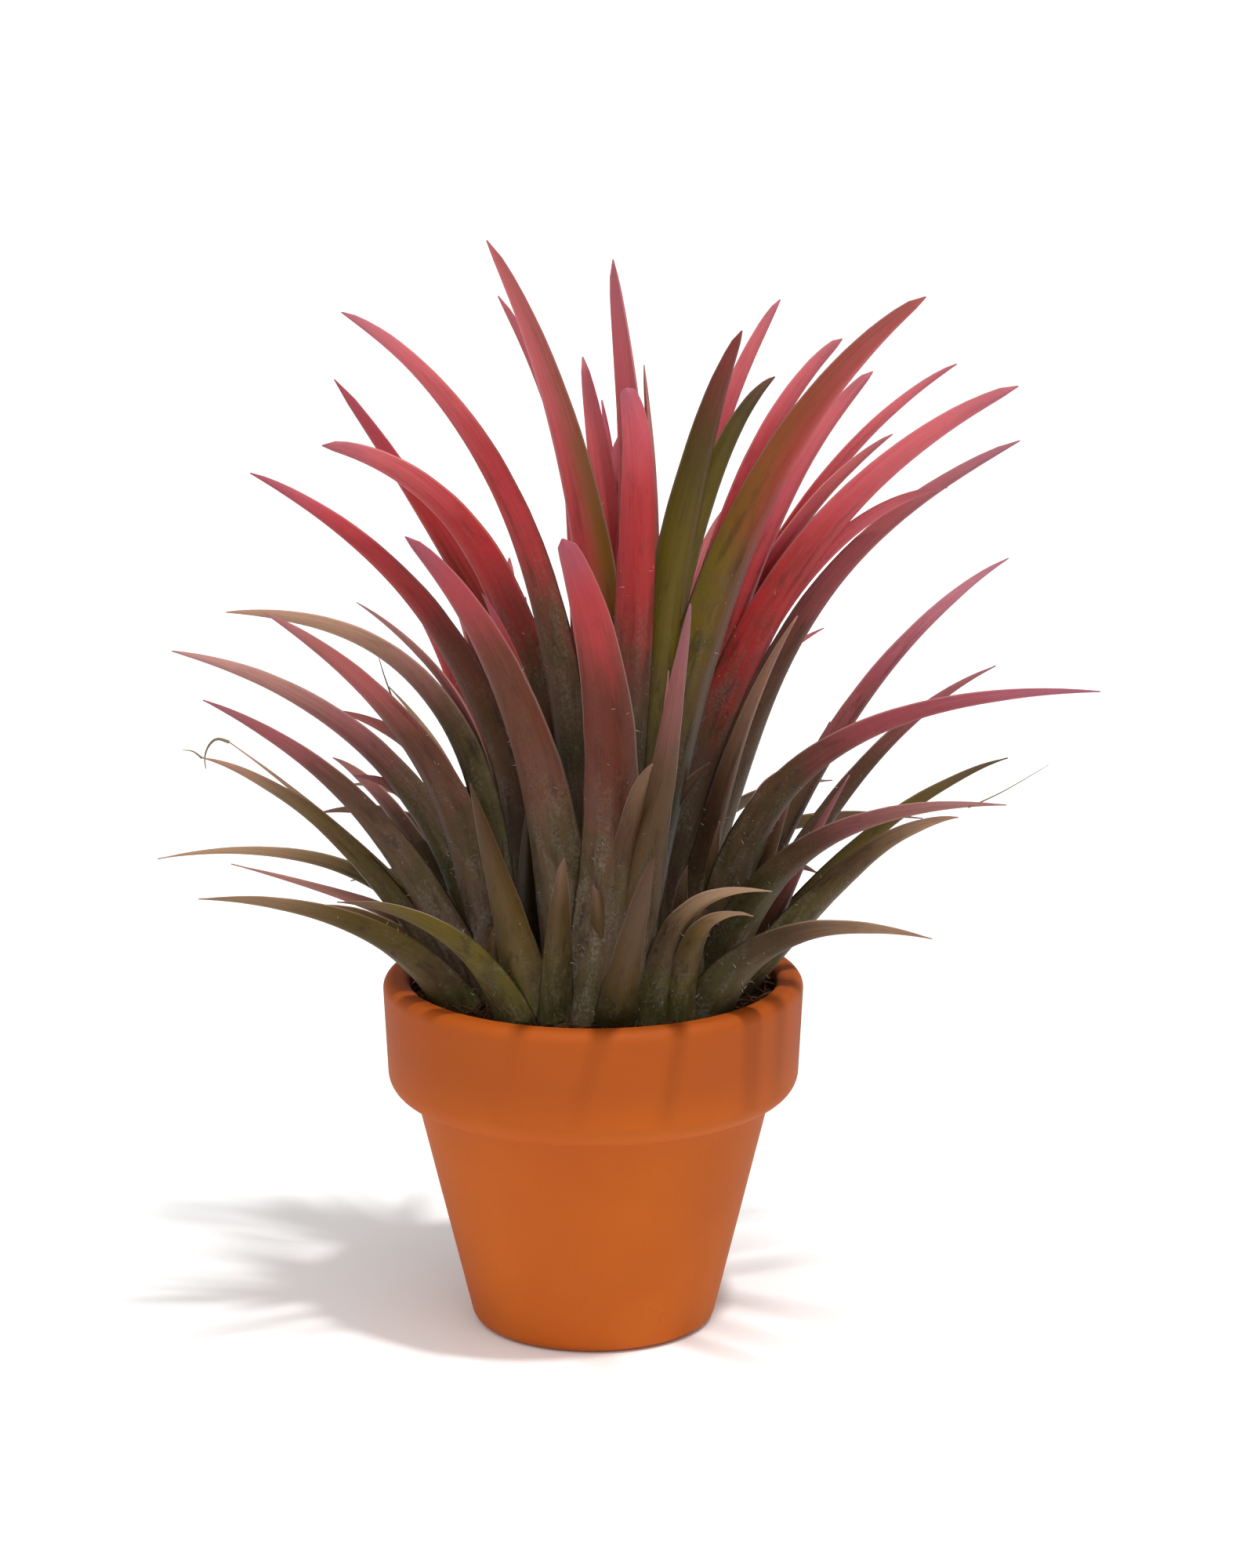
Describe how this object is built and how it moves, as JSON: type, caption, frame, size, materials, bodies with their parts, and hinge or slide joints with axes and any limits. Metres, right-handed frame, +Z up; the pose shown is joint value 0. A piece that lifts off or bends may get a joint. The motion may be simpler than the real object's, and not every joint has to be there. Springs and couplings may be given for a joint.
{
  "type": "potted sky plant",
  "caption": "Clump of small blushing air plant rosettes with curved tapering leaves, standing in a plain flared terracotta pot with a drain hole.",
  "frame": {"origin": "on the standing plane, under the middle of the whole plant's outer box", "axes": "+Z up, +Y from the front of the plant to its back, +X to the right seen from the front"},
  "size_m": [0.1082, 0.086, 0.1312],
  "materials": {
    "terracotta": "matte",
    "coir": "matte",
    "leaf": "satin"
  },
  "bodies": {
    "root": {"pot": "terracotta", "medium": "coir", "head_mother": "leaf", "head_front": "leaf", "head_right": "leaf", "head_back_right": "leaf", "head_back_left": "leaf", "head_left": "leaf"}
  },
  "joints": []
}
